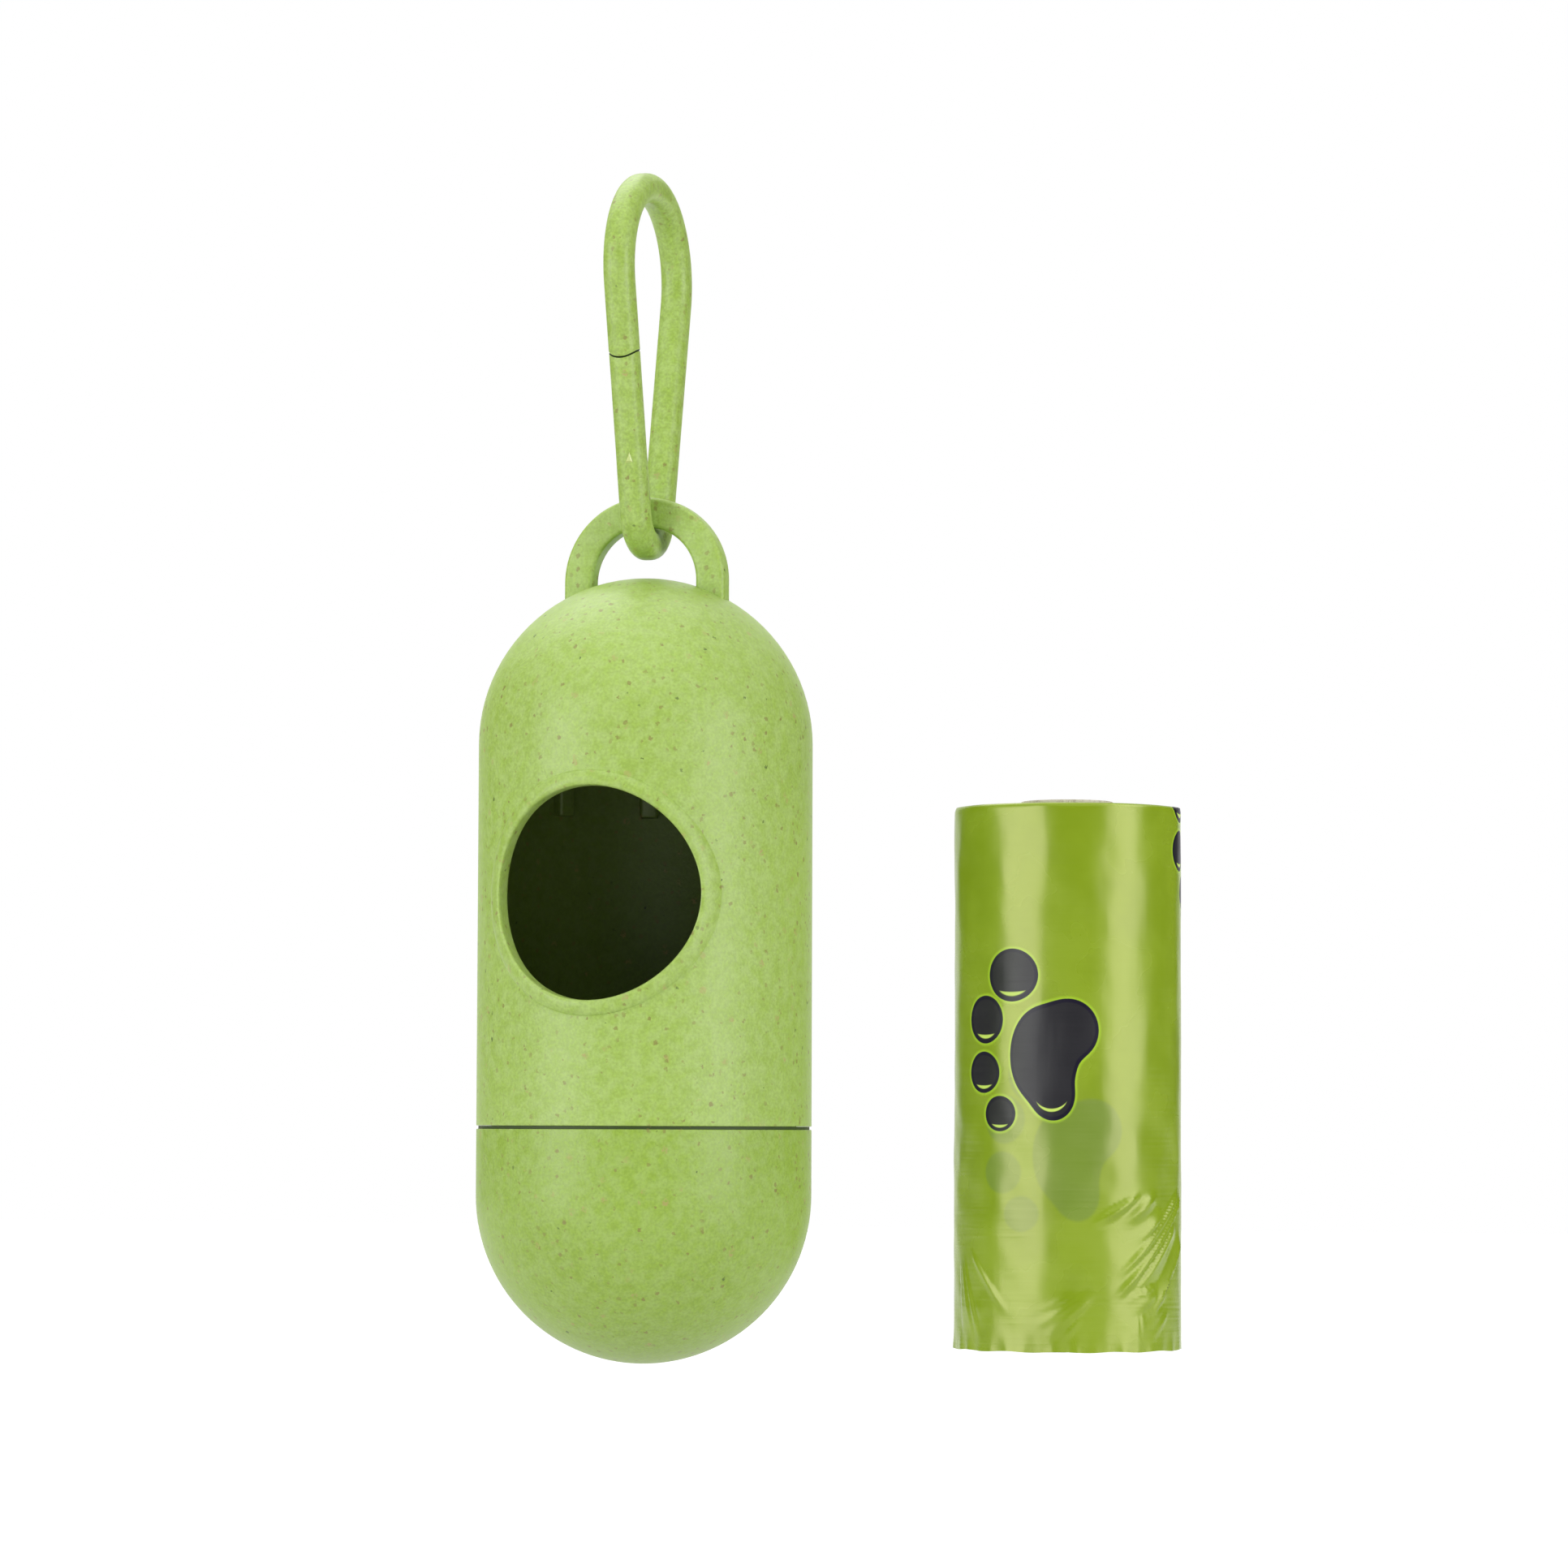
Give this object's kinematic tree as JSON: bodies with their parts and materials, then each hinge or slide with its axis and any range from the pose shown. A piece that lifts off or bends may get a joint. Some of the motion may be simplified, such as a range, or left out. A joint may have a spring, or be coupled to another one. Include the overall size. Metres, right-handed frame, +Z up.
{
  "type": "dog waste bag dispenser",
  "caption": "Capsule-shaped bag dispenser with a round mouth, a pull-off end cap and a moulded snap clip, with a bag roll standing beside it.",
  "frame": {"origin": "highest point inside the clip's large bend, where a lead or strap carries the dispenser", "axes": "+Z up along the hanging capsule's axis, the round mouth faces -Y, the loop on the dome lies in the XZ plane"},
  "size_m": [0.0754, 0.0752, 0.1428],
  "materials": {
    "clip_plastic": "matte straw-filled plastic",
    "shell_plastic": "matte straw-filled plastic",
    "cap_plastic": "matte straw-filled plastic",
    "core_card": "raw cardboard",
    "wound_film": "glossy translucent film",
    "outer_film": "glossy translucent film"
  },
  "bodies": {
    "clip": {"clip_frame": "clip_plastic"},
    "gate": {"clip_gate": "clip_plastic"},
    "capsule": {"shell": "shell_plastic"},
    "cap": {"end_cap": "cap_plastic"},
    "roll": {"roll_core": "core_card", "wound_bags": "wound_film", "outer_bag": "outer_film"}
  },
  "joints": [
    {"name": "gate_open", "type": "hinge", "parent": "clip", "child": "gate", "pos_m": [0, -0.00635, -0.03397], "axis": [-1, 0, 0], "range_deg": [0, 25], "stiffness_Nm_per_rad": 0.05},
    {"name": "shell_swing", "type": "hinge", "parent": "clip", "child": "capsule", "pos_m": [0, 0, -0.03715], "axis": [1, 0, 0], "range_deg": [-90, 90]},
    {"name": "cap_pull", "type": "slide", "parent": "capsule", "child": "cap", "axis": [0, 0, -1], "range_m": [0, 0.06]},
    {"name": "roll_lift", "type": "slide", "parent": "clip", "child": "roll", "axis": [0, 0, 1], "range_m": [0, 0.06]}
  ]
}
